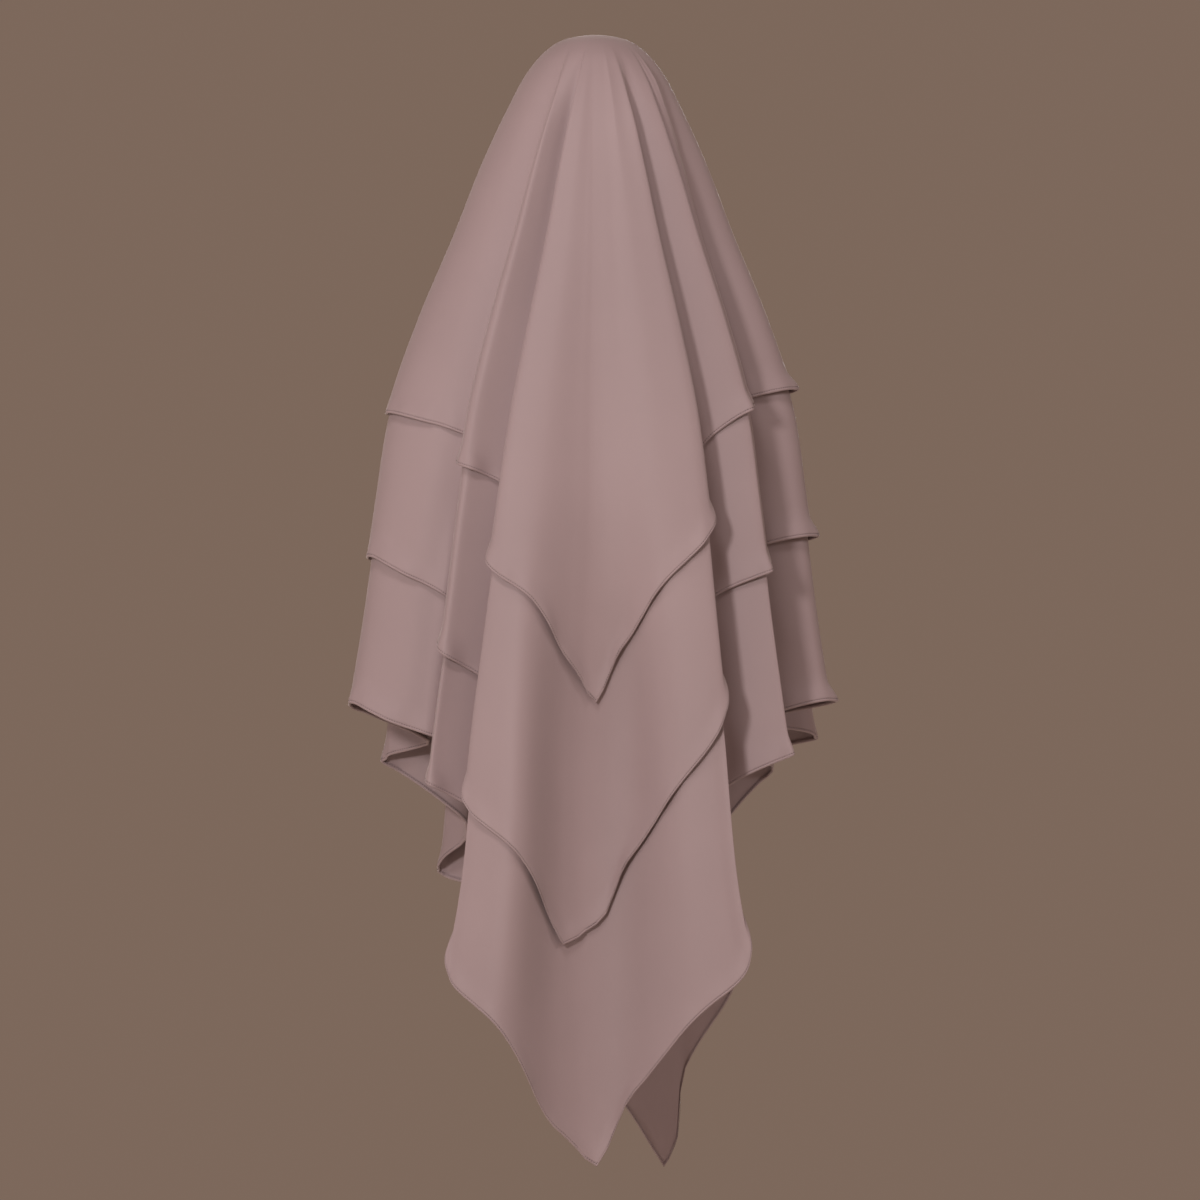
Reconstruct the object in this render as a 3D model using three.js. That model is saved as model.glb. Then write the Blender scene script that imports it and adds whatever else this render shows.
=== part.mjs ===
// Three-layer khimar veil, hanging as it does when it is worn, in millimetres with +Z up.
// The origin is the middle of the crown, on the inside of the cloth. The back of the veil faces -Y
// and its face opening looks to +Y.
import * as THREE from "three";

// Driving dimensions
const INNER_BACK_DROP = 1239; // crown to the back point of the longest layer
const MIDDLE_BACK_DROP = 997;
const OUTER_BACK_DROP = 733;
const INNER_SIDE_DROP = 732; // crown to the hem over the arms
const MIDDLE_SIDE_DROP = 552;
const OUTER_SIDE_DROP = 392;
const HALF_WIDTH = 290; // half the width of the skirt at the longest side hem
const HALF_DEPTH = 204;
const CLOTH = 1.2; // thickness of each layer
const CROWN_GAP = 0.4; // air between the layers on the head
const SKIRT_GAP = 4; // air between the layers where they hang free
const FACE_TOP_DROP = 62; // crown to the top of the face opening
const FACE_HEIGHT = 172;
const FACE_WIDTH = 146;
const CALM_DROP = 470; // crown to where the folds below the face are as open as the others
const BINDING_THICKNESS = 2.2;
const BINDING_OVERLAP = 1.6; // how far the binding stands past the cloth on each side
const BINDING_GAP = 0.8;

// How fine the facets are
const CROWN_COLUMNS = 3; // columns that share one on top of the head
const CROWN_DROP = 45; // and how far down they share it
const SHORTEST_FACET = 9; // a facet row closer to a hem than this is left out
const LEAST_MITRE = 0.5; // 1 + the cosine between faces at the sharpest corner that keeps its thickness

const COLOUR = 0xa08582;

// Rows of plain values as objects with named columns.
function table(columns, rows) {
  return rows.map((row) => Object.fromEntries(columns.map((column, i) => [column, row[i]])));
}

// The veil from the crown down, a row per section. drop is a share of INNER_BACK_DROP, width and depth
// are shares of HALF_WIDTH and HALF_DEPTH, and fold says how far the folds have opened from a plain oval.
const SECTIONS = table(["drop", "width", "depth", "fold"], [
  [0, 0, 0, 0],
  [0.0014, 0.068, 0.1, 0],
  [0.0055, 0.132, 0.2, 0],
  [0.016, 0.196, 0.302, 0.03],
  [0.035, 0.262, 0.4, 0.11],
  [0.066, 0.332, 0.51, 0.23],
  [0.111, 0.42, 0.6, 0.34],
  [0.178, 0.53, 0.69, 0.45],
  [0.253, 0.66, 0.77, 0.55],
  [0.329, 0.765, 0.83, 0.65],
  [0.413, 0.82, 0.88, 0.77],
  [0.511, 0.875, 0.93, 0.88],
  [0.617, 0.945, 0.97, 0.96],
  [0.742, 1.025, 1.02, 1.0],
  [0.875, 1.19, 1.06, 1.03],
  [1.02, 1.24, 1.1, 1.06],
]);

// The folds once round from the middle of the back over the left side, a row per crest, slope or valley.
// turn is its place on the crown in degrees, across and deep are shares of the section's half width and
// half depth (deep below 0 is the back), and round is how full the curve is there: 1 is a plain spline.
// calm is how far the fold waits to open until it is past the face, and facets is how many columns of facets
// lie between it and the next row. outer, middle and inner are the hems of the three layers there, as shares
// of the way from the layer's side drop to its back drop.
const FOLD_SHAPE = ["name", "turn", "across", "deep", "round", "calm"];
const FOLDS = table([...FOLD_SHAPE, "facets", "outer", "middle", "inner"], [
  ["back_middle", 0, 0.005, -0.88, 1.25, 0, 2, 1.0, 0.95, 1.0],
  ["back_slope", 3.5, -0.09, -0.91, 1.25, 0, 3, 0.88, 1.0, 0.925],
  ["left_ridge", 7, -0.325, -1.01, 1.25, 0, 3, 0.66, 0.76, 0.685],
  ["left_edge", 10, -0.51, -0.95, 0.9, 0, 3, 0.555, 0.635, 0.55],
  ["left_valley", 21, -0.41, -0.65, 1.25, 0, 3, 0.34, 0.39, 0.27],
  ["second_edge", 31, -0.66, -0.745, 1, 0, 2, 0.25, 0.29, 0.18],
  ["second_turn", 38, -0.675, -0.575, 1.1, 0, 2, 0.23, 0.255, 0.165],
  ["second_valley", 47, -0.56, -0.38, 1.25, 0, 2, 0.168, 0.186, 0.104],
  ["third_rise", 57, -0.8, -0.37, 1.25, 0, 3, 0.106, 0.106, 0.052],
  ["left_side", 73, -1.02, -0.21, 1.25, 0, 2, 0.074, 0.05, 0.004],
  ["left_turn", 86, -0.99, 0.01, 1.25, 0, 3, 0.078, 0.06, 0.02],
  ["left_side_valley", 97, -0.7, 0.09, 1.25, 0, 2, 0.094, 0.082, 0.085],
  ["fourth_edge", 106, -0.86, 0.25, 1.25, 0, 2, 0.12, 0.12, 0.124],
  ["fourth_turn", 113, -0.82, 0.39, 1.25, 0, 2, 0.145, 0.14, 0.145],
  ["fourth_valley", 123, -0.54, 0.38, 1.25, 0, 2, 0.255, 0.255, 0.255],
  ["fifth_edge", 133, -0.615, 0.61, 1.25, 0.2, 2, 0.37, 0.38, 0.36],
  ["fifth_turn", 140, -0.565, 0.745, 1.25, 0.45, 2, 0.41, 0.42, 0.385],
  ["fifth_valley", 149, -0.36, 0.65, 1.25, 0.8, 2, 0.5, 0.54, 0.43],
  ["front_left", 159, -0.38, 0.98, 1.25, 1, 3, 0.66, 0.72, 0.56],
  ["front_middle", 173, -0.05, 0.87, 1.25, 1, 3, 0.86, 0.88, 0.78],
  ["front_point", 185, 0.2, 0.92, 1.25, 1, 2, 1.0, 1.0, 1.024],
  ["front_slope", 194, 0.285, 0.97, 1.25, 1, 2, 0.84, 0.84, 0.79],
  ["front_right", 204, 0.51, 0.97, 1.25, 1, 3, 0.62, 0.64, 0.57],
  ["front_valley", 215, 0.42, 0.65, 1.25, 0.8, 2, 0.416, 0.453, 0.347],
  ["sixth_turn", 225, 0.665, 0.745, 1.25, 0.45, 2, 0.29, 0.29, 0.175],
  ["sixth_edge", 232, 0.73, 0.6, 1.25, 0.2, 2, 0.24, 0.24, 0.145],
  ["sixth_valley", 242, 0.57, 0.38, 1.25, 0, 2, 0.158, 0.156, 0.124],
  ["seventh_turn", 251, 0.86, 0.43, 1.25, 0, 2, 0.07, 0.07, 0.09],
  ["seventh_edge", 258, 0.91, 0.255, 1.25, 0, 2, 0.055, 0.055, 0.075],
  ["right_side_valley", 267, 0.7, 0.1, 1.25, 0, 2, 0.029, 0.027, 0.045],
  ["right_turn", 276, 0.95, 0.02, 1.25, 0, 2, 0.01, 0.01, 0.01],
  ["right_side", 287, 0.97, -0.19, 1.25, 0, 3, 0.0, 0.0, 0.0],
  ["third_valley", 301, 0.64, -0.35, 1.25, 0, 2, 0.035, 0.037, 0.048],
  ["eighth_turn", 310, 0.8, -0.545, 1.1, 0, 2, 0.05, 0.07, 0.1],
  ["eighth_edge", 316, 0.785, -0.725, 0.9, 0, 3, 0.07, 0.09, 0.118],
  ["eighth_valley", 327, 0.46, -0.63, 1.25, 0, 3, 0.2, 0.17, 0.21],
  ["right_edge", 340, 0.545, -0.95, 0.9, 0, 3, 0.45, 0.42, 0.535],
  ["right_ridge", 347, 0.33, -1.0, 1.25, 0, 2, 0.61, 0.604, 0.67],
  ["right_slope", 353, 0.11, -0.91, 1.25, 0, 2, 0.81, 0.78, 0.83],
]);

const LAYERS = [
  { name: "veil_outer", hem: "outer", side: OUTER_SIDE_DROP, back: OUTER_BACK_DROP },
  { name: "veil_middle", hem: "middle", side: MIDDLE_SIDE_DROP, back: MIDDLE_BACK_DROP },
  { name: "veil_inner", hem: "inner", side: INNER_SIDE_DROP, back: INNER_BACK_DROP },
];
const CROWN_TOP = LAYERS.length * CLOTH + (LAYERS.length - 1) * CROWN_GAP;
const LEVELS = SECTIONS.map((section) => section.drop * INNER_BACK_DROP);

// Cubic through two values with a slope at each, over a step of one.
function hermite(from, slopeFrom, to, slopeTo, part) {
  const square = part * part;
  const cube = square * part;
  return (
    (2 * cube - 3 * square + 1) * from +
    (cube - 2 * square + part) * slopeFrom +
    (3 * square - 2 * cube) * to +
    (cube - square) * slopeTo
  );
}

// The fold row at a place counted in whole turns, so that the turn keeps growing past the last row.
function foldRow(index, key) {
  const count = FOLDS.length;
  const lap = Math.floor(index / count);
  const value = FOLDS[index - lap * count][key];
  return key === "turn" ? value + 360 * lap : value;
}

// A column of the fold table as a smooth closed curve. place 0 is the first row and 1 the second.
function alongFolds(key, place) {
  const index = Math.floor(place);
  const value = (i) => foldRow(i, key);
  const fullness = (i) => (key === "across" || key === "deep" ? foldRow(i, "round") : 1);
  const slope = (i) => (fullness(i) * (value(i + 1) - value(i - 1))) / 2;
  return hermite(value(index), slope(index), value(index + 1), slope(index + 1), place - index);
}

// A hem runs down to each point in a sharp corner and is smooth elsewhere, without overshooting a row.
function hemShare(key, place) {
  const index = Math.floor(place);
  const value = (i) => foldRow(i, key);
  const rise = (i) => value(i + 1) - value(i);
  const slope = (i) => {
    const before = rise(i - 1);
    const after = rise(i);
    if (before * after > 0) return (2 * before * after) / (before + after);
    return value(i) >= 1 ? rise(index) : 0;
  };
  return hermite(value(index), slope(index), value(index + 1), slope(index + 1), place - index);
}

function hemDrop(layer, place) {
  return layer.side + hemShare(layer.hem, place) * (layer.back - layer.side);
}

// The outside of the veil at a place along the folds, in one section.
function sectionPoint(section, place) {
  const angle = THREE.MathUtils.degToRad(alongFolds("turn", place));
  const drop = section.drop * INNER_BACK_DROP;
  const past = THREE.MathUtils.smoothstep(drop, FACE_TOP_DROP + FACE_HEIGHT, CALM_DROP);
  const open = section.fold * (1 - alongFolds("calm", place) * (1 - past));
  const across = (1 - open) * -Math.sin(angle) + open * alongFolds("across", place);
  const deep = (1 - open) * -Math.cos(angle) + open * alongFolds("deep", place);
  return new THREE.Vector3(
    HALF_WIDTH * section.width * across,
    HALF_DEPTH * section.depth * deep,
    CROWN_TOP - drop,
  );
}

// The vector that moves the corner between two faces, given by unit normals, out by one from both.
function mitre(first, second) {
  const room = Math.max(1 + first.dot(second), LEAST_MITRE);
  return first.clone().add(second).multiplyScalar(1 / room);
}

// Outward mitres of the section grid, so that facets moved along them stay parallel.
function gridMitres(grid) {
  return grid.map((column, c) => {
    const before = grid[(c + grid.length - 1) % grid.length];
    const after = grid[(c + 1) % grid.length];
    return column.map((point, level) => {
      if (level === 0) return new THREE.Vector3(0, 0, 1);
      const down = column[Math.min(level + 1, column.length - 1)].clone().sub(column[level - 1]);
      const arriving = point.clone().sub(before[level]).cross(down).normalize();
      const leaving = after[level].clone().sub(point).cross(down).normalize();
      return mitre(arriving, leaving);
    });
  });
}

// Places of the columns: evenly between two fold rows, and on a row where a layer's hem comes to a point.
const isPoint = (fold) => LAYERS.some((layer) => fold[layer.hem] >= 1);
const places = FOLDS.flatMap((fold, row) => {
  const between = Array.from({ length: fold.facets }, (_, i) => row + (i + 1 / 2) / fold.facets);
  return isPoint(fold) ? [row, ...between] : between;
});
const COLUMNS = places.length;
const outside = places.map((place) => SECTIONS.map((section) => sectionPoint(section, place)));
const mitres = gridMitres(outside);

// The air between two layers at a drop: it grows smoothly from the head to the longest side hem.
function layerGap(drop) {
  const part = THREE.MathUtils.smoothstep(drop, FACE_TOP_DROP, INNER_SIDE_DROP);
  return CROWN_GAP + (SKIRT_GAP - CROWN_GAP) * part;
}

// A point of the grid moved inwards, at a drop between two levels. column may lie between two columns.
function clothPoint(column, drop, layersAbove, wallsAbove) {
  const found = LEVELS.findIndex((level) => level > drop);
  const lower = found < 0 ? LEVELS.length - 1 : Math.max(found, 1);
  const part = (drop - LEVELS[lower - 1]) / (LEVELS[lower] - LEVELS[lower - 1]);
  const moved = (c, level) => {
    const inwards = wallsAbove * CLOTH + layersAbove * layerGap(LEVELS[level]);
    return outside[c][level].clone().addScaledVector(mitres[c][level], -inwards);
  };
  const onColumn = (c) => moved(c, lower - 1).lerp(moved(c, lower), part);
  const first = Math.floor(column);
  return onColumn(first % COLUMNS).lerp(onColumn((first + 1) % COLUMNS), column - first);
}

// The face opening, an oval about the middle of the front.
const faceMiddleDrop = FACE_TOP_DROP + FACE_HEIGHT / 2;
const frontColumn = places.findIndex((place) => alongFolds("turn", place) >= 180);

function acrossFace(column) {
  return clothPoint((column + COLUMNS) % COLUMNS, faceMiddleDrop, 0, 0).x;
}

// The column, usually between two of the grid, where the cloth crosses the end of the face opening.
function faceEnd(direction) {
  let near = frontColumn;
  while (Math.abs(acrossFace(near + direction)) < FACE_WIDTH / 2) near += direction;
  const nearX = Math.abs(acrossFace(near));
  const farX = Math.abs(acrossFace(near + direction));
  return near + (direction * (FACE_WIDTH / 2 - nearX)) / (farX - nearX);
}

const faceFrom = faceEnd(-1);
const faceTo = faceEnd(1);
const faceFirst = Math.round(faceFrom);
const faceLast = Math.round(faceTo);

// Where the cloth stops above the opening and starts again below it, in a column that it cuts.
function faceGap(column) {
  const share = acrossFace(column) / (FACE_WIDTH / 2);
  const reach = (FACE_HEIGHT / 2) * Math.sqrt(Math.max(1 - share * share, 0));
  return { above: faceMiddleDrop - reach, below: faceMiddleDrop + reach };
}

// A layer's cloth in one column, from the top down, as one run or as two past the face opening.
function columnRuns(layer, column) {
  const hem = hemDrop(layer, places[column]);
  const crownColumn = column - (column % CROWN_COLUMNS);
  const levels = LEVELS.filter((drop) => hem - drop > SHORTEST_FACET).map((drop) => ({
    column: drop < CROWN_DROP ? crownColumn : column,
    drop,
  }));
  const run = [...levels, { column, drop: hem }];
  if (column < faceFirst || column > faceLast) return { whole: run };
  const isEnd = column === faceFirst || column === faceLast;
  const end = column === faceFirst ? faceFrom : faceTo;
  const gap = isEnd ? { above: faceMiddleDrop, below: faceMiddleDrop } : faceGap(column);
  const above = run.filter((stop) => gap.above - stop.drop > SHORTEST_FACET);
  const below = run.filter((stop) => stop.drop - gap.below > SHORTEST_FACET);
  const top = { column: isEnd ? end : column, drop: gap.above };
  const bottom = isEnd ? top : { column, drop: gap.below };
  const whole = [...above, top, ...below];
  return { whole, above: [...above, top], below: [bottom, ...below], isEnd };
}

// Triangles between two neighbouring runs, taking the next stop of whichever run is higher.
function zip(left, right) {
  const triangles = [];
  let l = 0;
  let r = 0;
  while (l < left.length - 1 || r < right.length - 1) {
    const leftDrop = l < left.length - 1 ? left[l + 1].drop : Infinity;
    const rightDrop = r < right.length - 1 ? right[r + 1].drop : Infinity;
    const takeLeft = leftDrop <= rightDrop;
    triangles.push([left[l], right[r], takeLeft ? left[l + 1] : right[r + 1]]);
    if (takeLeft) l += 1;
    else r += 1;
  }
  return triangles;
}

// All triangles of one layer as triples of stops, with its hem and the rim of its face opening as loops.
function layerStops(layer) {
  const runs = places.map((_, column) => columnRuns(layer, column));
  const triangles = runs.flatMap((left, column) => {
    const right = runs[(column + 1) % COLUMNS];
    if (!left.above || !right.above) return zip(left.whole, right.whole);
    return [...zip(left.above, right.above), ...zip(left.below, right.below)];
  });
  const hem = runs.map((run) => run.whole[run.whole.length - 1]);
  const cut = runs.filter((run) => run.above);
  const top = cut.map((run) => run.above[run.above.length - 1]);
  const bottom = cut.filter((run) => !run.isEnd).map((run) => run.below[0]);
  return { triangles, hem, face: [...top, ...bottom.reverse()] };
}

// A growing closed surface whose vertices are shared by key.
class Surface {
  positions = [];
  index = [];
  known = new Map();

  vertex(key, makePoint) {
    if (!this.known.has(key)) {
      this.known.set(key, this.positions.length / 3);
      this.positions.push(...makePoint().toArray());
    }
    return this.known.get(key);
  }

  triangle(a, b, c) {
    if (a !== b && b !== c && c !== a) this.index.push(a, b, c);
  }

  quad(a, b, c, d) {
    this.triangle(a, b, c);
    this.triangle(a, c, d);
  }

  geometry() {
    const geometry = new THREE.BufferGeometry();
    geometry.setAttribute("position", new THREE.Float32BufferAttribute(this.positions, 3));
    geometry.setIndex(this.index);
    geometry.computeVertexNormals();
    return geometry;
  }
}

// One layer: its outside, its inside, and the thickness of the cloth along the hem and the face opening.
function layerGeometry(layer, layersAbove) {
  const { triangles, hem, face } = layerStops(layer);
  const surface = new Surface();
  const corner = (stop, side) => {
    const column = stop.drop === 0 ? 0 : stop.column;
    const key = `${side} ${column} ${stop.drop}`;
    return surface.vertex(key, () => clothPoint(column, stop.drop, layersAbove, layersAbove + side));
  };
  for (const [a, b, c] of triangles) {
    surface.triangle(corner(a, 0), corner(b, 0), corner(c, 0));
    surface.triangle(corner(c, 1), corner(b, 1), corner(a, 1));
  }
  const rim = (loop) =>
    loop.forEach((stop, i) => {
      const next = loop[(i + 1) % loop.length];
      surface.quad(corner(stop, 0), corner(next, 0), corner(next, 1), corner(stop, 1));
    });
  rim(hem);
  rim(face);
  return surface.geometry();
}

// The binding that holds the three layers together round the face, a flat band just inside their rims.
function bindingGeometry() {
  const { face } = layerStops(LAYERS[0]);
  const innermost = LAYERS.length - 1;
  const rim = face.map((stop) => {
    const out = clothPoint(stop.column, stop.drop, 0, 0);
    const inside = clothPoint(stop.column, stop.drop, innermost, LAYERS.length);
    return { out, inside };
  });
  const surface = new Surface();
  const corners = rim.map(({ out, inside }, i) => {
    const before = rim[(i + rim.length - 1) % rim.length].out;
    const after = rim[(i + 1) % rim.length].out;
    const thickness = out.clone().sub(inside).normalize();
    const arriving = thickness.clone().cross(out.clone().sub(before)).normalize();
    const leaving = thickness.clone().cross(after.clone().sub(out)).normalize();
    const inwards = mitre(arriving, leaving);
    const at = (start, reach, depth) =>
      start.clone().addScaledVector(thickness, reach).addScaledVector(inwards, depth);
    const far = BINDING_GAP + BINDING_THICKNESS;
    return [
      at(out, BINDING_OVERLAP, BINDING_GAP),
      at(out, BINDING_OVERLAP, far),
      at(inside, -BINDING_OVERLAP, far),
      at(inside, -BINDING_OVERLAP, BINDING_GAP),
    ].map((point, k) => surface.vertex(`${i} ${k}`, () => point));
  });
  corners.forEach((here, i) => {
    const next = corners[(i + 1) % corners.length];
    here.forEach((corner, k) => {
      const other = (k + 1) % here.length;
      surface.quad(here[other], corner, next[k], next[other]);
    });
  });
  return surface.geometry();
}

function clothMesh(name, geometry) {
  const material = new THREE.MeshStandardMaterial({ color: COLOUR, roughness: 0.7, metalness: 0 });
  const mesh = new THREE.Mesh(geometry, material);
  mesh.name = name;
  return mesh;
}

const veil = new THREE.Group();
LAYERS.forEach((layer, i) => veil.add(clothMesh(layer.name, layerGeometry(layer, i))));
veil.add(clothMesh("face_binding", bindingGeometry()));

export default veil;
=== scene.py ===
# Three-layer khimar veil in soft crepe, hanging as it does when it is worn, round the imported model.
# Metres, +Z up. The back of the veil faces -Y, and its face opening looks to +Y.
import bpy
import math
import numpy as np
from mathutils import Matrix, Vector


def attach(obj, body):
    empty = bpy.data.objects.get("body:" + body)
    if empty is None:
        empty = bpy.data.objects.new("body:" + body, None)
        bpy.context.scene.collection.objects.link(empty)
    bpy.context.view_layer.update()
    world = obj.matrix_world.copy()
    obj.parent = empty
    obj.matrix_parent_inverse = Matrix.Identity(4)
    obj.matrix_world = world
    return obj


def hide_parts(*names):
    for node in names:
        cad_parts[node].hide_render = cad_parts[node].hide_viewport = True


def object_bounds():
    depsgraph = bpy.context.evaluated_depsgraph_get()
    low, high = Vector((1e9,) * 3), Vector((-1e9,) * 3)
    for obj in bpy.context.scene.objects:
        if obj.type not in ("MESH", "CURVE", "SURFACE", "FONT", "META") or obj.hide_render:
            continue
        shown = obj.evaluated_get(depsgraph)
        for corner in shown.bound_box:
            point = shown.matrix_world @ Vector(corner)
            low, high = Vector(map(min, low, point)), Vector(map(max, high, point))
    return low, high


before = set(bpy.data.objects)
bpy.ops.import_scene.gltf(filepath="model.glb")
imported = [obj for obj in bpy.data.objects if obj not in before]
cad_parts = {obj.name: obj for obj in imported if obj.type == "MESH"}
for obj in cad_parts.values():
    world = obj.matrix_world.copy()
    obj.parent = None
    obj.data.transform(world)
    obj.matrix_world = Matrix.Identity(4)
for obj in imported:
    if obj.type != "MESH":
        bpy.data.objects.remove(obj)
cad_low, cad_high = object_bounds()

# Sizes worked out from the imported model's box
HEIGHT = cad_high.z - cad_low.z
CROWN_TOP = cad_high.z
LENGTH = 0.98999 * HEIGHT  # crown to the back point of the longest layer
HALF_WIDTH = 0.55024 * (cad_high.x - cad_low.x)
HALF_DEPTH = 0.4951 * (cad_high.y - cad_low.y)
LAYERS = [  # name, then the drops of its back point and of its hem over the arms
    {"name": "outer", "back": 0.5916 * LENGTH, "side": 0.3164 * LENGTH},
    {"name": "middle", "back": 0.8047 * LENGTH, "side": 0.4455 * LENGTH},
    {"name": "inner", "back": LENGTH, "side": 0.5908 * LENGTH},
]

# Cloth
WALL = 0.0012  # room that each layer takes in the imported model
CROWN_GAP = 0.0004
SKIRT_GAP = 0.004
CLOTH = 0.0008
HEM_WIDTH = 0.0040
HEM_CLOTH = 0.0028  # the hem is rolled twice
HEM_FULL_BELOW = 0.0004  # the hem is full up to this far below its width
HEM_GONE_ABOVE = 0.0006  # and single cloth from this far above it
HEM_ROUND = 0.0014  # how far up the round edge of the hem goes
STITCH_UP = 0.0032  # hem edge to the stitch line
STITCH_DIMPLE = 0.0006  # how deep the stitches pull the cloth in
STITCH_PULL = 0.0006  # and how far to both sides
STITCH_LENGTH = 0.0016
STITCH_PITCH = 0.0029
THREAD = 0.0009

# Face opening
FACE_TOP_DROP = 0.062
FACE_HEIGHT = 0.172
FACE_WIDTH = 0.146
CALM_DROP = 0.47  # crown to where the folds below the face are as open as the others

# How fine the cloth is, and the curves that it is read from
COLUMNS = 420
UPPER_ROWS = 36
LOWER_ROWS = 64
WAY_STEPS = 4000
ROUND_STEPS = 8000
FRONT_STEPS = 2000
HEM_LINE_STEPS = 6000
BINDING_LINE_STEPS = 2000
LEAST_MITRE = 0.5  # keeps the mitres at sharp corners short
TINY = 1e-12  # a vector shorter than this has no direction

# The veil from the crown down: drop, width, depth and how far the folds have opened
SECTIONS = np.array([
    [0, 0, 0, 0],
    [0.0014, 0.068, 0.1, 0],
    [0.0055, 0.132, 0.2, 0],
    [0.016, 0.196, 0.302, 0.03],
    [0.035, 0.262, 0.4, 0.11],
    [0.066, 0.332, 0.51, 0.23],
    [0.111, 0.42, 0.6, 0.34],
    [0.178, 0.53, 0.69, 0.45],
    [0.253, 0.66, 0.77, 0.55],
    [0.329, 0.765, 0.83, 0.65],
    [0.413, 0.82, 0.88, 0.77],
    [0.511, 0.875, 0.93, 0.88],
    [0.617, 0.945, 0.97, 0.96],
    [0.742, 1.025, 1.02, 1.0],
    [0.875, 1.19, 1.06, 1.03],
    [1.02, 1.24, 1.1, 1.06],
])

# The folds once round from the middle of the back over the left side: turn on the crown in degrees,
# across and deep as shares of the section, how round the fold is, how far it waits to open until it is
# past the face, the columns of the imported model, and the three hems
FOLD_KEYS = ["turn", "across", "deep", "round", "calm", "facets", "outer", "middle", "inner"]
FOLDS = np.array([
    [0, 0.005, -0.88, 1.25, 0, 2, 1.0, 0.95, 1.0],
    [3, -0.09, -0.91, 1.25, 0, 3, 0.88, 1.0, 0.925],
    [6, -0.325, -1.01, 1.25, 0, 3, 0.66, 0.76, 0.685],
    [10, -0.51, -0.95, 0.9, 0, 3, 0.555, 0.635, 0.55],
    [13.5, -0.41, -0.70, 1.25, 0, 3, 0.34, 0.39, 0.27],
    [26, -0.66, -0.745, 1, 0, 2, 0.25, 0.29, 0.18],
    [30, -0.675, -0.575, 1.1, 0, 2, 0.23, 0.255, 0.165],
    [34, -0.56, -0.38, 1.25, 0, 2, 0.168, 0.186, 0.104],
    [51, -0.8, -0.37, 1.25, 0, 3, 0.106, 0.106, 0.052],
    [73, -1.02, -0.21, 1.25, 0, 2, 0.074, 0.05, 0.004],
    [86, -0.99, 0.01, 1.25, 0, 3, 0.078, 0.06, 0.02],
    [97, -0.7, 0.09, 1.25, 0, 2, 0.094, 0.082, 0.085],
    [106, -0.86, 0.25, 1.25, 0, 2, 0.12, 0.12, 0.124],
    [113, -0.82, 0.39, 1.25, 0, 2, 0.145, 0.14, 0.145],
    [123, -0.54, 0.38, 1.25, 0, 2, 0.255, 0.255, 0.255],
    [133, -0.615, 0.61, 1.25, 0.2, 2, 0.37, 0.38, 0.36],
    [140, -0.565, 0.745, 1.25, 0.45, 2, 0.41, 0.42, 0.385],
    [149, -0.36, 0.65, 1.25, 0.8, 2, 0.5, 0.54, 0.43],
    [159, -0.38, 0.98, 1.25, 1, 3, 0.66, 0.72, 0.56],
    [173, -0.05, 0.87, 1.25, 1, 3, 0.86, 0.88, 0.78],
    [185, 0.2, 0.92, 1.25, 1, 2, 1.0, 1.0, 1.024],
    [194, 0.285, 0.97, 1.25, 1, 2, 0.84, 0.84, 0.79],
    [204, 0.51, 0.97, 1.25, 1, 3, 0.62, 0.64, 0.57],
    [215, 0.42, 0.65, 1.25, 0.8, 2, 0.416, 0.453, 0.347],
    [225, 0.665, 0.745, 1.25, 0.45, 2, 0.29, 0.29, 0.175],
    [232, 0.73, 0.6, 1.25, 0.2, 2, 0.24, 0.24, 0.145],
    [242, 0.57, 0.38, 1.25, 0, 2, 0.158, 0.156, 0.124],
    [251, 0.86, 0.43, 1.25, 0, 2, 0.07, 0.07, 0.09],
    [258, 0.91, 0.255, 1.25, 0, 2, 0.055, 0.055, 0.075],
    [267, 0.7, 0.1, 1.25, 0, 2, 0.029, 0.027, 0.045],
    [276, 0.95, 0.02, 1.25, 0, 2, 0.01, 0.01, 0.01],
    [287, 0.97, -0.19, 1.25, 0, 3, 0.0, 0.0, 0.0],
    [304, 0.64, -0.35, 1.25, 0, 2, 0.035, 0.037, 0.048],
    [311, 0.8, -0.545, 1.1, 0, 2, 0.05, 0.07, 0.1],
    [316, 0.785, -0.725, 0.9, 0, 3, 0.07, 0.09, 0.118],
    [329, 0.475, -0.69, 1.25, 0, 3, 0.2, 0.17, 0.21],
    [340, 0.545, -0.95, 0.9, 0, 3, 0.45, 0.42, 0.535],
    [347, 0.33, -1.0, 1.25, 0, 2, 0.61, 0.604, 0.67],
    [353, 0.11, -0.91, 1.25, 0, 2, 0.81, 0.78, 0.83],
])
FOLD_COUNT = len(FOLDS)
FACETS = FOLD_KEYS.index("facets")
HEMS = slice(FACETS + 1, len(FOLD_KEYS))


def running_sums(steps):
    return np.concatenate([[0], np.cumsum(steps)])


def joined(ring, axis=0):
    """A closed ring with its first entry again at its end."""
    return np.concatenate([ring, np.take(ring, [0], axis=axis)], axis=axis)


def placed(name, data):
    """A new object in the scene."""
    found = bpy.data.objects.new(name, data)
    bpy.context.collection.objects.link(found)
    return found


def hermite(start, slope_start, end, slope_end, part):
    """Cubic through two values with a slope at each, over a step of one."""
    square = part * part
    cube = square * part
    return (
        (2 * cube - 3 * square + 1) * start
        + (cube - 2 * square + part) * slope_start
        + (3 * square - 2 * cube) * end
        + (cube - square) * slope_end
    )


def fold_value(key, row):
    """The fold table at whole rows, counted past the last one. turn keeps growing from lap to lap."""
    column = FOLDS[:, FOLD_KEYS.index(key)]
    value = column[row % FOLD_COUNT]
    return value + 360 * (row // FOLD_COUNT) if key == "turn" else value


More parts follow.
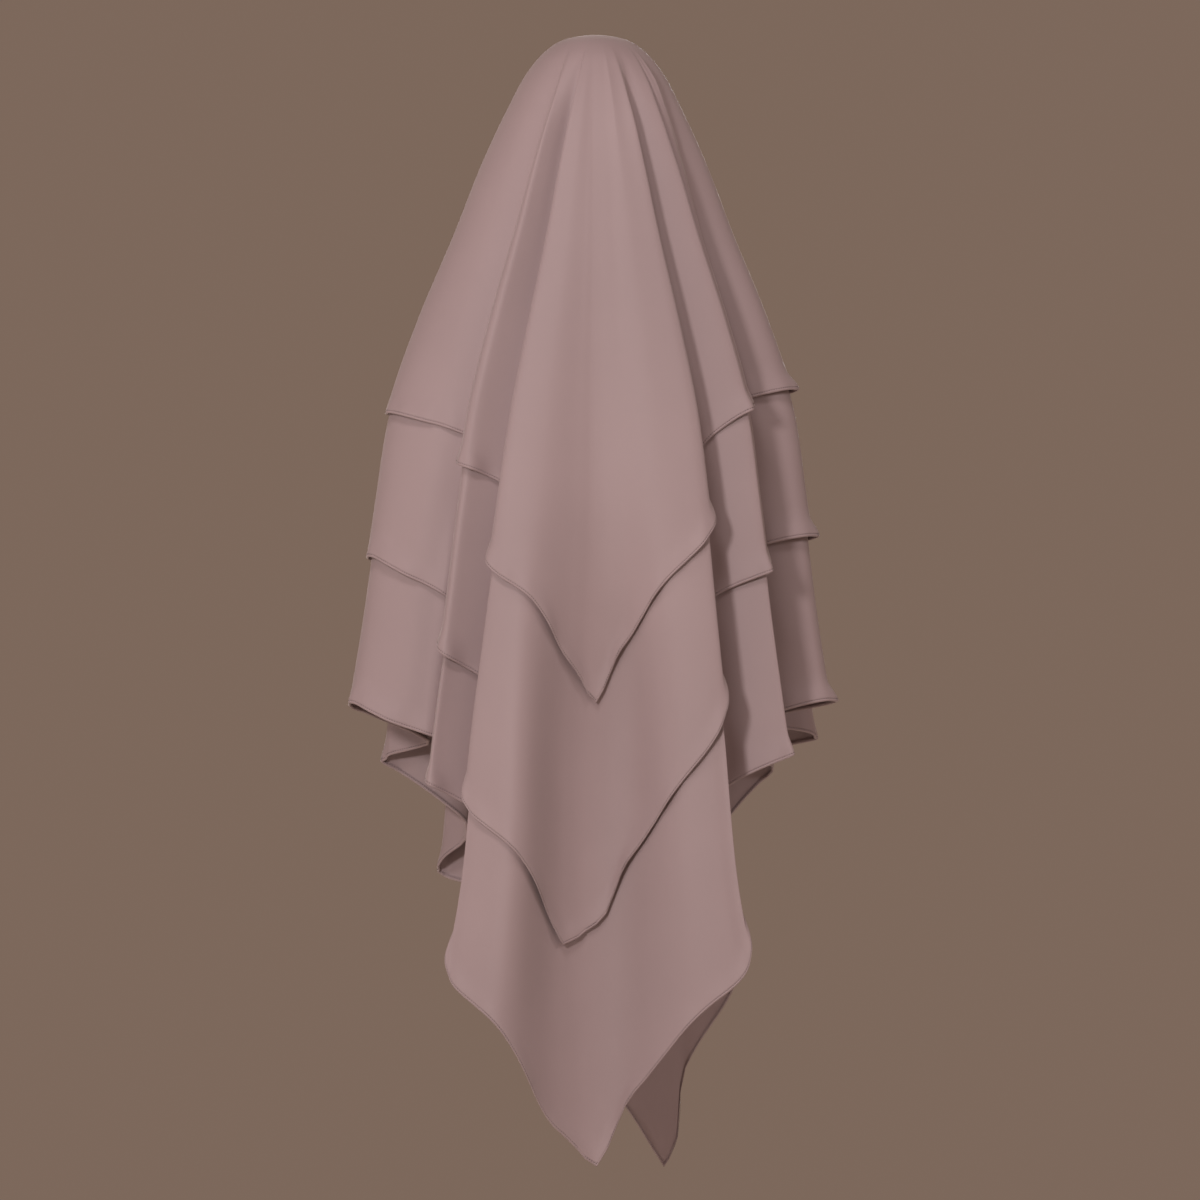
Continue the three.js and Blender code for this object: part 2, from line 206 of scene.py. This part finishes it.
def along_folds(key, place):
    """A column of the fold table as a smooth closed curve."""
    row = np.floor(place).astype(int)

    def slope(i):
        fullness = fold_value("round", i) if key in ("across", "deep") else 1
        return fullness * (fold_value(key, i + 1) - fold_value(key, i - 1)) / 2

    start, end = fold_value(key, row), fold_value(key, row + 1)
    return hermite(start, slope(row), end, slope(row + 1), place - row)


def hem_share(key, place):
    """A hem runs down to each point in a sharp corner and is smooth elsewhere."""
    row = np.floor(place).astype(int)

    def rise(i):
        return fold_value(key, i + 1) - fold_value(key, i)

    def slope(i):
        before, after = rise(i - 1), rise(i)
        same_way = before * after > 0
        smooth = 2 * before * after / np.where(same_way, before + after, 1)
        return np.where(same_way, smooth, np.where(fold_value(key, i) >= 1, rise(row), 0))

    start, end = fold_value(key, row), fold_value(key, row + 1)
    return hermite(start, slope(row), end, slope(row + 1), place - row)


def hem_drop(layer, place):
    return layer["side"] + hem_share(layer["name"], place) * (layer["back"] - layer["side"])


def smoothstep(value, low, high):
    part = np.clip((value - low) / (high - low), 0, 1)
    return part * part * (3 - 2 * part)


# The sections as smooth functions of the way down the cloth
section_steps = np.hypot(np.diff(SECTIONS[:, 0]) * LENGTH, np.diff(SECTIONS[:, 1]) * HALF_WIDTH)
section_way = running_sums(section_steps)


def knot_slopes(knots, values):
    """Slopes of a smooth curve through values at uneven knots."""
    rise = np.diff(values, axis=0) / np.diff(knots)[:, None]
    before, after = np.diff(knots)[:-1, None], np.diff(knots)[1:, None]
    inner = (rise[:-1] * after + rise[1:] * before) / (before + after)
    return np.concatenate([rise[:1], inner, rise[-1:]])


section_slopes = knot_slopes(section_way, SECTIONS)
section_slopes[0] *= [0, 1, 1, 0]  # the crown is level at its middle


def along_knots(knots, values, slopes, way):
    """A smooth curve through values at uneven knots."""
    lower = np.clip(np.searchsorted(knots, way, side="right") - 1, 0, len(knots) - 2)
    step = (knots[lower + 1] - knots[lower])[..., None]
    part = (way - knots[lower])[..., None] / step
    return hermite(values[lower], slopes[lower] * step, values[lower + 1], slopes[lower + 1] * step, part)


def section_at(way):
    return along_knots(section_way, SECTIONS, section_slopes, way)


fine_way = np.linspace(0, section_way[-1], WAY_STEPS)
fine_drop = section_at(fine_way)[:, 0] * LENGTH


def way_to(drop):
    """The way down the cloth to a drop below the crown."""
    return np.interp(drop, fine_drop, fine_way)


def section_points(sections, place):
    """Points of the outside of the veil. sections has a last axis of four, and place matches the others."""
    angle = np.radians(along_folds("turn", place))
    drop, width, depth, fold = np.moveaxis(sections, -1, 0)
    past = smoothstep(drop * LENGTH, FACE_TOP_DROP + FACE_HEIGHT, CALM_DROP)
    fold = fold * (1 - along_folds("calm", place) * (1 - past))
    across = (1 - fold) * -np.sin(angle) + fold * along_folds("across", place)
    deep = (1 - fold) * -np.cos(angle) + fold * along_folds("deep", place)
    x = HALF_WIDTH * width * across
    y = HALF_DEPTH * depth * deep
    return np.stack([x, y, CROWN_TOP - drop * LENGTH], axis=-1)


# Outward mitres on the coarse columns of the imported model, which the layers are set in along
def coarse_places():
    """A place in the middle of each facet, and one on each hem point."""
    found = []
    for row, fold in enumerate(FOLDS):
        if fold[HEMS].max() >= 1:
            found.append(row)
        count = int(fold[FACETS])
        found.extend(row + (i + 0.5) / count for i in range(count))
    return np.array(found)


def unit(vectors):
    return vectors / np.maximum(np.linalg.norm(vectors, axis=-1, keepdims=True), TINY)


def mitre(first, second):
    """The way out at the corner of two faces, which sets both of them in by one."""
    room = np.maximum(1 + (first * second).sum(-1, keepdims=True), LEAST_MITRE)
    return (first + second) / room


def coarse_mitres(places):
    sections = np.broadcast_to(SECTIONS, (len(places), *SECTIONS.shape))
    grid = section_points(sections, places[:, None])
    down = np.concatenate([grid[:, 1:2], grid[:, 2:], grid[:, -1:]], axis=1)
    down = down - np.concatenate([grid[:, :1], grid[:, :-1]], axis=1)
    arriving = unit(np.cross(grid - np.roll(grid, 1, axis=0), down))
    leaving = unit(np.cross(np.roll(grid, -1, axis=0) - grid, down))
    found = mitre(arriving, leaving)
    found[:, 0] = [0, 0, 1]
    return found


mitre_places = coarse_places()
mitre_grid = coarse_mitres(mitre_places)


def mitres_at(place, way):
    """Mitres between the coarse columns and sections, for arrays of one shape."""
    count = len(mitre_places)
    knots = np.concatenate([mitre_places - FOLD_COUNT, mitre_places, mitre_places + FOLD_COUNT])
    index = np.searchsorted(knots, place, side="right") - 1
    part = ((place - knots[index]) / (knots[index + 1] - knots[index]))[..., None]
    section = np.clip(np.searchsorted(section_way, way, side="right") - 1, 0, len(section_way) - 2)
    step = section_way[section + 1] - section_way[section]
    below = ((way - section_way[section]) / step)[..., None]

    def column(offset):
        around = mitre_grid[(index + offset) % count]
        rows = np.take_along_axis(around, section[..., None, None], axis=-2)[..., 0, :]
        next_rows = np.take_along_axis(around, section[..., None, None] + 1, axis=-2)[..., 0, :]
        return rows + (next_rows - rows) * below

    before, start, end, after = (column(offset) for offset in (-1, 0, 1, 2))
    return hermite(start, (end - before) / 2, end, (after - start) / 2, part)


def layer_gap(drop):
    return CROWN_GAP + (SKIRT_GAP - CROWN_GAP) * smoothstep(drop, FACE_TOP_DROP, LAYERS[-1]["side"])


# Way round the open folds to a place, measured in a section where the skirt is open
OPEN_SECTION = SECTIONS[12]
dense_places = np.linspace(0, FOLD_COUNT, ROUND_STEPS, endpoint=False)
dense_ends = np.append(dense_places, FOLD_COUNT)
dense_ring = section_points(np.broadcast_to(OPEN_SECTION, (ROUND_STEPS, len(OPEN_SECTION))), dense_places)
dense_steps = np.linalg.norm(np.roll(dense_ring, -1, axis=0) - dense_ring, axis=1)
dense_way = running_sums(dense_steps)
RING = dense_steps.sum()


def way_round(place):
    return np.interp(place % FOLD_COUNT, dense_ends, dense_way)


def away_from(place, middle):
    """How far a place is from another one round the skirt, below 0 before it."""
    return (way_round(place) - way_round(middle) + RING / 2) % RING - RING / 2


# Fine columns, closer together near the four crests, with one on each hem point
CREST_ROWS = (3, 5, 34, 36)
CREST_REACH = 0.012
CREST_WEIGHT = 4


def fine_places():
    steps = dense_steps
    for row in CREST_ROWS:
        steps = steps * (1 + CREST_WEIGHT * np.exp(-((away_from(dense_places, row) / CREST_REACH) ** 2)))
    total = running_sums(steps)
    even = np.interp(np.arange(COLUMNS) * total[-1] / COLUMNS, total, dense_ends)
    for row in np.flatnonzero(FOLDS[:, HEMS].max(axis=1) >= 1):
        even[np.abs(even - row).argmin()] = row
    return even


places = fine_places()


# Ridges and dents that the cloth has besides its folds, the same in every layer: the shares of the length
# where one begins, is full and has faded out, the places where it starts and ends, then in metres how wide
# it is, how round its crest is, and its height outwards
CREASES = np.array([
    # the crests of the four large folds, crisp from the crown on
    [0.008, 0.09, 1.10, 3.0, 3.0, 0.017, 0.0023, 0.0040],
    [0.008, 0.09, 1.00, 5.0, 5.0, 0.016, 0.0025, 0.0040],
    [0.006, 0.09, 1.60, 36.0, 36.0, 0.016, 0.0018, 0.0070],
    [0.006, 0.09, 1.10, 34.0, 34.0, 0.018, 0.0022, 0.0045],
    # the valleys to the left of the two left crests
    [0.010, 0.09, 0.42, 3.9, 3.7, 0.028, 0.012, -0.0100],
    [0.010, 0.06, 0.22, 6.3, 6.0, 0.030, 0.012, -0.0050],
    # the valleys to the right of the two right crests
    [0.010, 0.12, 0.55, 35.65, 35.6, 0.010, 0.007, -0.0080],
    [0.010, 0.07, 0.38, 35.2, 35.5, 0.022, 0.010, -0.0080],
    [0.010, 0.10, 0.95, 33.5, 33.5, 0.011, 0.007, -0.0150],
    # gathers at the right of the crown and a soft fold below them
    [0.006, 0.05, 0.26, 32.4, 32.2, 0.021, 0.006, 0.0040],
    [0.006, 0.05, 0.18, 37.4, 37.2, 0.019, 0.007, 0.0014],
    [0.14, 0.24, 0.44, 32.2, 31.9, 0.024, 0.009, -0.0080],
    # the back panel is full above the hem of the outer layer, and sinks into a soft valley below it
    [0.03, 0.20, 0.62, 0.2, 0.2, 0.050, 0.045, 0.0080],
    [0.38, 0.62, 3.00, 38.0, 38.0, 0.030, 0.040, -0.0260],
    [0.38, 0.72, 3.00, 2.05, 0.85, 0.019, 0.026, 0.0245],
    [0.40, 0.72, 3.00, 1.00, 0.70, 0.026, 0.032, -0.0130],
    [0.66, 0.76, 3.00, 37.85, 37.7, 0.020, 0.012, 0.0060],
    # folds that only open near the hems at the left
    [0.40, 0.50, 0.80, 7.45, 7.6, 0.009, 0.003, 0.0070],
    [0.30, 0.40, 0.95, 8.0, 8.1, 0.036, 0.029, 0.0040],
])


def creases(place, way):
    """How far the ridges and dents lift the cloth outwards."""
    drop = np.interp(way, fine_way, fine_drop) / LENGTH
    height = np.zeros(np.broadcast(place, way).shape)
    for top, full, low, start, end, spread, crest, rise in CREASES:
        line = start + (end - start) * np.clip((drop - top) / (low - top), 0, 1)
        profile = np.exp(-(np.hypot(away_from(place, line), crest) - crest) / spread)
        fade = smoothstep(drop, top, full) * (1 - smoothstep(drop, full, low))
        height = height + rise * profile * fade
    return height


def cloth_points(place, way, inwards):
    """Points of the cloth, inwards from the outside of the outer layer, for arrays of one shape."""
    points = section_points(section_at(way), place)
    return points + mitres_at(place, way) * (creases(place, way) - inwards)[..., None]


# Where a hem turns outwards besides its even lip: its place, and in metres its reach and how far out it goes
FLARES = np.array([
    [0.9, 0.040, 0.0015],
    [2.9, 0.022, 0.0025],
    [4.9, 0.022, 0.0035],
    [8.6, 0.035, 0.0035],
    [31.0, 0.045, 0.0060],
    [33.9, 0.025, 0.0035],
    [35.9, 0.020, 0.0015],
])
LIP = 0.0018
LIP_REACH = 0.028
LIP_SEED = 7
LIP_WAVES = (17, 29, 47, 83)  # how many of each kind go round a hem
LIP_SHARES = (0.2, 0.5)  # the least and most that a kind changes the lip by
rng = np.random.default_rng(LIP_SEED)
lip_waves = [(count, rng.uniform(0, 2 * np.pi), rng.uniform(*LIP_SHARES)) for count in LIP_WAVES]


def lip(place):
    """How far the hem turns outwards along its edge."""
    turned = 2 * np.pi * place / FOLD_COUNT
    uneven = 1 + sum(share * np.sin(count * turned + phase) for count, phase, share in lip_waves)
    height = LIP * uneven
    for middle, spread, rise in FLARES:
        height = height + rise * np.exp(-((away_from(place, middle) / spread) ** 2))
    return height


# Rows of a column: down to the face opening's middle, on to the hem, and close together in the hem band
FACE_MIDDLE = FACE_TOP_DROP + FACE_HEIGHT / 2
HEM_ROWS = np.array([0.034, 0.024, 0.016, 0.010, 0.0066, 0.0050, 0.0043, 0.0037, 0.0032, 0.0027, 0.0019,
                     0.0012, 0.0007, 0.0003, 0.0001, 0.0])


def face_cuts():
    """How far each column is cut above and below the middle of the face opening."""
    middle = np.full(len(places), way_to(FACE_MIDDLE))
    points = section_points(section_at(middle), places)
    share = np.abs(points[:, 0]) / (FACE_WIDTH / 2)
    reach = FACE_HEIGHT / 2 * np.sqrt(np.maximum(1 - share * share, 0))
    return np.where(points[:, 1] > 0, reach, 0)


cuts = face_cuts()


def layer_ways(layer):
    """Ways down the cloth of a layer's rows: a grid above the face opening's middle and one below it."""
    hem = way_to(hem_drop(layer, places))
    rim_above = way_to(FACE_MIDDLE - cuts)
    rim_below = way_to(FACE_MIDDLE + cuts)
    above = rim_above[:, None] * (np.arange(UPPER_ROWS + 1) / UPPER_ROWS)
    band_top = hem - HEM_ROWS[0]
    below = rim_below[:, None] + (band_top - rim_below)[:, None] * (np.arange(LOWER_ROWS) / LOWER_ROWS)
    return above, np.concatenate([below, hem[:, None] - HEM_ROWS], axis=1)


def cloth_sides(layer, depth, place, way):
    """Points of the right side and the wrong side of a layer, for arrays of one shape."""
    from_hem = way_to(hem_drop(layer, place)) - way
    drop = section_at(way)[..., 0] * LENGTH
    band = 1 - smoothstep(from_hem, HEM_WIDTH - HEM_FULL_BELOW, HEM_WIDTH + HEM_GONE_ABOVE)
    thick = CLOTH + (HEM_CLOTH - CLOTH) * band
    edge = np.sqrt(np.clip(from_hem / HEM_ROUND, 0, 1))  # the fold of the hem is round
    dimple = STITCH_DIMPLE * np.exp(-((from_hem - STITCH_UP) / STITCH_PULL) ** 2)
    flick = lip(place) * (1 - smoothstep(from_hem, 0, LIP_REACH))
    middle = depth * (WALL + layer_gap(drop)) + thick / 2 - flick
    half = thick / 2 * edge - dimple
    return cloth_points(place, way, middle - half), cloth_points(place, way, middle + half)


def layer_grid(layer, depth):
    """Points of the right side and the wrong side of a layer, above and below the opening's middle."""
    return [
        cloth_sides(layer, depth, np.broadcast_to(places[:, None], way.shape), way)
        for way in layer_ways(layer)
    ]


class Surface:
    """Vertices and faces of one mesh, gathered from grids."""

    def __init__(self):
        self.points = []
        self.faces = []
        self.count = 0

    def add(self, points):
        """Adds points and gives their numbers, in the same shape."""
        flat = points.reshape(-1, 3)
        numbers = np.arange(self.count, self.count + len(flat)).reshape(points.shape[:-1])
        self.points.append(flat)
        self.count += len(flat)
        return numbers

    def quads(self, first, second, flip=False):
        """Faces between two runs of vertices."""
        quads = np.stack([first[:-1], second[:-1], second[1:], first[1:]], axis=-1).reshape(-1, 4)
        self.faces.extend((quads[:, ::-1] if flip else quads).tolist())

    def mesh(self, name):
        """A smooth object of all the faces, without the vertices that none of them uses."""
        mesh = bpy.data.meshes.new(name)
        clean = [list(dict.fromkeys(face)) for face in self.faces]
        clean = [face for face in clean if len(face) > 2]
        kept = sorted({number for face in clean for number in face})
        renumbered = dict(zip(kept, range(len(kept))))
        clean = [[renumbered[number] for number in face] for face in clean]
        mesh.from_pydata(np.concatenate(self.points)[kept].tolist(), [], clean)
        mesh.update()
        for polygon in mesh.polygons:
            polygon.use_smooth = True
        return placed(name, mesh)


def layer_object(layer, depth):
    """A layer as one closed mesh: its right side and its wrong side, joined at the hem and the face rim."""
    surface = Surface()
    (right_above, wrong_above), (right_below, wrong_below) = layer_grid(layer, depth)
    is_open = cuts > 0
    sides = []
    for above_points, below_points in ((right_above, right_below), (wrong_above, wrong_below)):
        above = surface.add(above_points)
        above[:, 0] = above[0, 0]  # one point in the middle of the crown
        below = surface.add(below_points)
        below[~is_open, 0] = above[~is_open, -1]  # beside the opening the cloth goes on
        sides.append((above, below))
    (above, below), (above_inside, below_inside) = sides
    below_inside[:, -1] = below[:, -1]  # both sides meet in the fold of the hem
    for flip, side in zip((True, False), sides):
        for numbers in side:
            ring = joined(numbers)
            for row in range(numbers.shape[1] - 1):
                surface.quads(ring[:, row], ring[:, row + 1], flip)
    # The rim of the face opening, with the closed column at each end of it
    opened = np.flatnonzero(is_open)
    edge = np.concatenate([[opened[0] - 1], opened, [opened[-1] + 1]])
    surface.quads(above[edge, -1], above_inside[edge, -1], True)
    surface.quads(below[edge, 0], below_inside[edge, 0])
    return surface.mesh("cloth_" + layer["name"])


# Stitches: rings of a short thread that dips into the cloth at both ends, as shares along it, of its
# thickness and of its height above the cloth
STITCH_RINGS = np.array([
    [0.0, 0.4, -0.3],
    [0.2, 0.9, 0.25],
    [0.8, 0.9, 0.25],
    [1.0, 0.4, -0.3],
])
STITCH_SIDES = 4


def stitches(name, line, out):
    """A row of stitches as one mesh, along a closed line of points with the way out of the cloth at each."""
    line, out = joined(line), joined(out)
    length = running_sums(np.linalg.norm(np.diff(line, axis=0), axis=1))
    count = int(length[-1] / STITCH_PITCH)
    starts = np.arange(count) * length[-1] / count

    def at(values, where):
        return np.stack([np.interp(where, length, values[:, k]) for k in range(3)], axis=-1)

    along = unit(at(line, starts + STITCH_LENGTH) - at(line, starts))
    up = unit(at(out, starts))
    aside = unit(np.cross(along, up))
    turn = 2 * np.pi * np.arange(STITCH_SIDES) / STITCH_SIDES
    points = []
    for part, thick, height in STITCH_RINGS:
        centre = at(line, starts + part * STITCH_LENGTH) + up * height * THREAD
        around = aside[:, None] * np.cos(turn)[:, None] + up[:, None] * np.sin(turn)[:, None]
        points.append(centre[:, None] + around * thick * THREAD / 2)
    surface = Surface()
    numbers = surface.add(np.stack(points, axis=1))
    ring = joined(numbers, axis=2)
    quads = np.stack([ring[:, :-1, :-1], ring[:, 1:, :-1], ring[:, 1:, 1:], ring[:, :-1, 1:]], axis=-1)
    surface.faces.extend(quads.reshape(-1, 4).tolist())
    surface.faces.extend(numbers[:, 0].tolist())  # the two ends of each stitch
    surface.faces.extend(numbers[:, -1, ::-1].tolist())
    return surface.mesh(name)


def hem_stitches(layer, depth):
    """The stitches of a layer's hem on its right side and on its wrong side."""
    place = np.linspace(0, FOLD_COUNT, HEM_LINE_STEPS, endpoint=False)
    right, wrong = cloth_sides(layer, depth, place, way_to(hem_drop(layer, place)) - STITCH_UP)
    return [
        stitches("stitches_" + layer["name"], right, right - wrong),
        stitches("stitches_inside_" + layer["name"], wrong, wrong - right),
    ]


# The binding of the face opening: a strip folded over the rims of the three layers. Its section is a row per
# corner, with the reach from the rim over the cloth, the share of the way through the layers, and how much
# further inwards it lies
BINDING_SECTION = np.array([
    [0.0050, 0, -0.0003],
    [0.0052, 0, -0.0006],
    [0.0048, 0, -0.0010],
    [0.0020, 0, -0.0012],
    [-0.0006, 0, -0.0011],
    [-0.0017, 0, -0.0003],
    [-0.0021, 0.5, 0],
    [-0.0017, 1, 0.0003],
    [-0.0006, 1, 0.0011],
    [0.0020, 1, 0.0012],
    [0.0048, 1, 0.0010],
    [0.0052, 1, 0.0006],
    [0.0050, 1, 0.0003],
    [-0.0006, 1, 0.0002],
    [-0.0009, 0.5, 0],
    [-0.0006, 0, -0.0002],
])
BINDING_COLUMNS = 240
BINDING_STITCH_REACH = 0.0036
BINDING_STITCH_SEAT = -0.0012  # on the outside of the binding
BINDING_STITCH_ABOVE = -0.0032  # further out, which gives the way out of the cloth

# Places across the front, at the level of the middle of the face opening
FRONT_LEFT = 15.5
FRONT_RIGHT = 24.5
front_places = np.linspace(FRONT_LEFT, FRONT_RIGHT, FRONT_STEPS)
front_ways = np.full(FRONT_STEPS, way_to(FACE_MIDDLE))
front_across = section_points(section_at(front_ways), front_places)[:, 0]


def face_ring(turns, reach, through, further):
    """Points round the face opening, by how far from its rim and how far through the layers they lie."""
    across = (FACE_WIDTH / 2 + reach) * np.cos(turns)
    drop = FACE_MIDDLE - (FACE_HEIGHT / 2 + reach) * np.sin(turns)
    layers = len(LAYERS) - 1
    stack = layers * (WALL + layer_gap(drop)) + CLOTH
    place = np.interp(across, front_across, front_places)
    return cloth_points(place, way_to(drop), through * stack + further)


def binding_objects():
    """The binding and the stitches along it."""
    turns = 2 * np.pi * np.arange(BINDING_COLUMNS) / BINDING_COLUMNS
    rings = [face_ring(turns, reach, through, further) for reach, through, further in BINDING_SECTION]
    surface = Surface()
    numbers = surface.add(np.stack(rings, axis=1))
    closed = joined(joined(numbers), axis=1)
    quads = np.stack([closed[:-1, :-1], closed[:-1, 1:], closed[1:, 1:], closed[1:, :-1]], axis=-1)
    surface.faces.extend(quads.reshape(-1, 4).tolist())
    turns = np.linspace(0, 2 * np.pi, BINDING_LINE_STEPS, endpoint=False)
    line = face_ring(turns, BINDING_STITCH_REACH, 0, BINDING_STITCH_SEAT)
    above = face_ring(turns, BINDING_STITCH_REACH, 0, BINDING_STITCH_ABOVE)
    return surface.mesh("binding"), stitches("stitches_binding", line, above - line)


# Materials
MAUVE = (0.312, 0.217, 0.218)
CREPE_ROUGHNESS = 0.62
THREAD_PAINTED_SHADE = 0.4  # of the cloth's colour: painted shade, the thread is darkened to stand in for the shade in the dents that the stitches sink into
THREAD_ROUGHNESS = 0.5
CLOUDS = [(0.3, 0.95), (0.7, 1.05)]  # soft uneven colour: where on the noise, and how bright


def cloth_material(name, colour, roughness):
    """Soft crepe, with a sheen, softly uneven colour and a fine grain."""
    material = bpy.data.materials.new(name)
    material.use_nodes = True
    nodes, links = material.node_tree.nodes, material.node_tree.links
    shader = nodes["Principled BSDF"]
    shader.inputs["Roughness"].default_value = roughness
    shader.inputs["Sheen Weight"].default_value = 0.25
    shader.inputs["Sheen Roughness"].default_value = 0.45
    shader.inputs["Sheen Tint"].default_value = (0.95, 0.85, 0.82, 1)
    shader.inputs["Specular IOR Level"].default_value = 0.35
    place = nodes.new("ShaderNodeTexCoord")
    clouds = nodes.new("ShaderNodeTexNoise")
    clouds.inputs["Scale"].default_value = 3.5
    clouds.inputs["Detail"].default_value = 3
    ramp = nodes.new("ShaderNodeValToRGB")
    for element, (position, bright) in zip(ramp.color_ramp.elements, CLOUDS):
        element.position = position
        element.color = (*[bright * c for c in colour], 1)
    grain = nodes.new("ShaderNodeTexNoise")
    grain.inputs["Scale"].default_value = 1400
    grain.inputs["Detail"].default_value = 2
    bump = nodes.new("ShaderNodeBump")
    bump.inputs["Strength"].default_value = 0.26
    bump.inputs["Distance"].default_value = 0.0002
    links.new(place.outputs["Object"], clouds.inputs["Vector"])
    links.new(place.outputs["Object"], grain.inputs["Vector"])
    links.new(clouds.outputs["Fac"], ramp.inputs["Fac"])
    links.new(ramp.outputs["Color"], shader.inputs["Base Color"])
    links.new(grain.outputs["Fac"], bump.inputs["Height"])
    links.new(bump.outputs["Normal"], shader.inputs["Normal"])
    return material


crepe = cloth_material("crepe", MAUVE, CREPE_ROUGHNESS)
# the thread's colour is the cloth's, darkened with painted shade
thread = cloth_material("thread", [THREAD_PAINTED_SHADE * c for c in MAUVE], THREAD_ROUGHNESS)


def dress(piece, material):
    """Gives a piece its material and body."""
    piece.data.materials.append(material)
    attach(piece, "root")


hems = []
for depth, layer in enumerate(LAYERS):
    cloth = layer_object(layer, depth)
    dress(cloth, crepe)
    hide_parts("veil_" + layer["name"])
    hems.append(hem_stitches(layer, depth))
    for row in hems[-1]:
        dress(row, thread)

binding, binding_stitches = binding_objects()
dress(binding, crepe)
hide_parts("face_binding")
dress(binding_stitches, thread)
hems[0] += [binding, binding_stitches]

# Stage, light and camera
FRAME_PIXELS = 1200
PIXEL = 0.0011  # metres of the object for each pixel of the frame
AXIS_PIXEL = 595
CROWN_PIXEL = 35
DISTANCE = 20
SENSOR = 36
VIEW_END = 100
FLOOR_HALF = 6
FLOOR_DROP = 0.35  # the veil hangs clear of the floor
FLOOR_CORNERS = [(-1, -1), (1, -1), (1, 1), (-1, 1)]
LIGHTS = [  # name, place, what it looks at, size and power
    ("key", (-1.3, -3.75, 0.3), (0, 0, -0.55), 0.5, 75),
    ("fill", (3.2, -1.6, 0.9), (0, 0, -0.45), 1.0, 25),
    ("side", (-3.3, -1.2, 0.1), (0, 0, -0.5), 1.0, 20),
    ("top", (-0.4, -2.2, 1.7), (0, 0, -0.1), 0.8, 28),
    ("front", (0.5, 4.2, 0.2), (0, 0, -0.5), 1.2, 45),
]

floor_mesh = bpy.data.meshes.new("floor")
floor_z = cad_low.z - FLOOR_DROP
corners = [(FLOOR_HALF * x, FLOOR_HALF * y, floor_z) for x, y in FLOOR_CORNERS]
floor_mesh.from_pydata(corners, [], [range(len(corners))])
floor = placed("floor", floor_mesh)
floor_material = bpy.data.materials.new("floor")
floor_material.use_nodes = True
floor_shader = floor_material.node_tree.nodes["Principled BSDF"]
floor_shader.inputs["Base Color"].default_value = (0.72, 0.66, 0.58, 1)
floor_shader.inputs["Roughness"].default_value = 0.9
floor_mesh.materials.append(floor_material)

world = bpy.data.worlds.new("studio")
world.use_nodes = True
background = world.node_tree.nodes["Background"]
background.inputs["Color"].default_value = (0.85, 0.58, 0.44, 1)
background.inputs["Strength"].default_value = 0.24
bpy.context.scene.world = world
bpy.context.scene.view_settings.view_transform = "Standard"


def area_light(name, place, target, size, power):
    light = bpy.data.lights.new(name, "AREA")
    light.shape = "DISK"
    light.size = size
    light.energy = power
    lamp = placed(name, light)
    lamp.location = place
    lamp.rotation_euler = (Vector(target) - Vector(place)).to_track_quat("-Z", "Y").to_euler()


for settings in LIGHTS:
    area_light(*settings)

camera_data = bpy.data.cameras.new("camera")
camera_data.sensor_width = SENSOR
camera_data.lens = SENSOR * DISTANCE / (FRAME_PIXELS * PIXEL)
camera_data.clip_end = VIEW_END
camera = placed("camera", camera_data)
middle = FRAME_PIXELS / 2
camera.location = ((middle - AXIS_PIXEL) * PIXEL, -DISTANCE, CROWN_TOP - (middle - CROWN_PIXEL) * PIXEL)
camera.rotation_euler = (math.radians(90), 0, 0)
bpy.context.scene.camera = camera
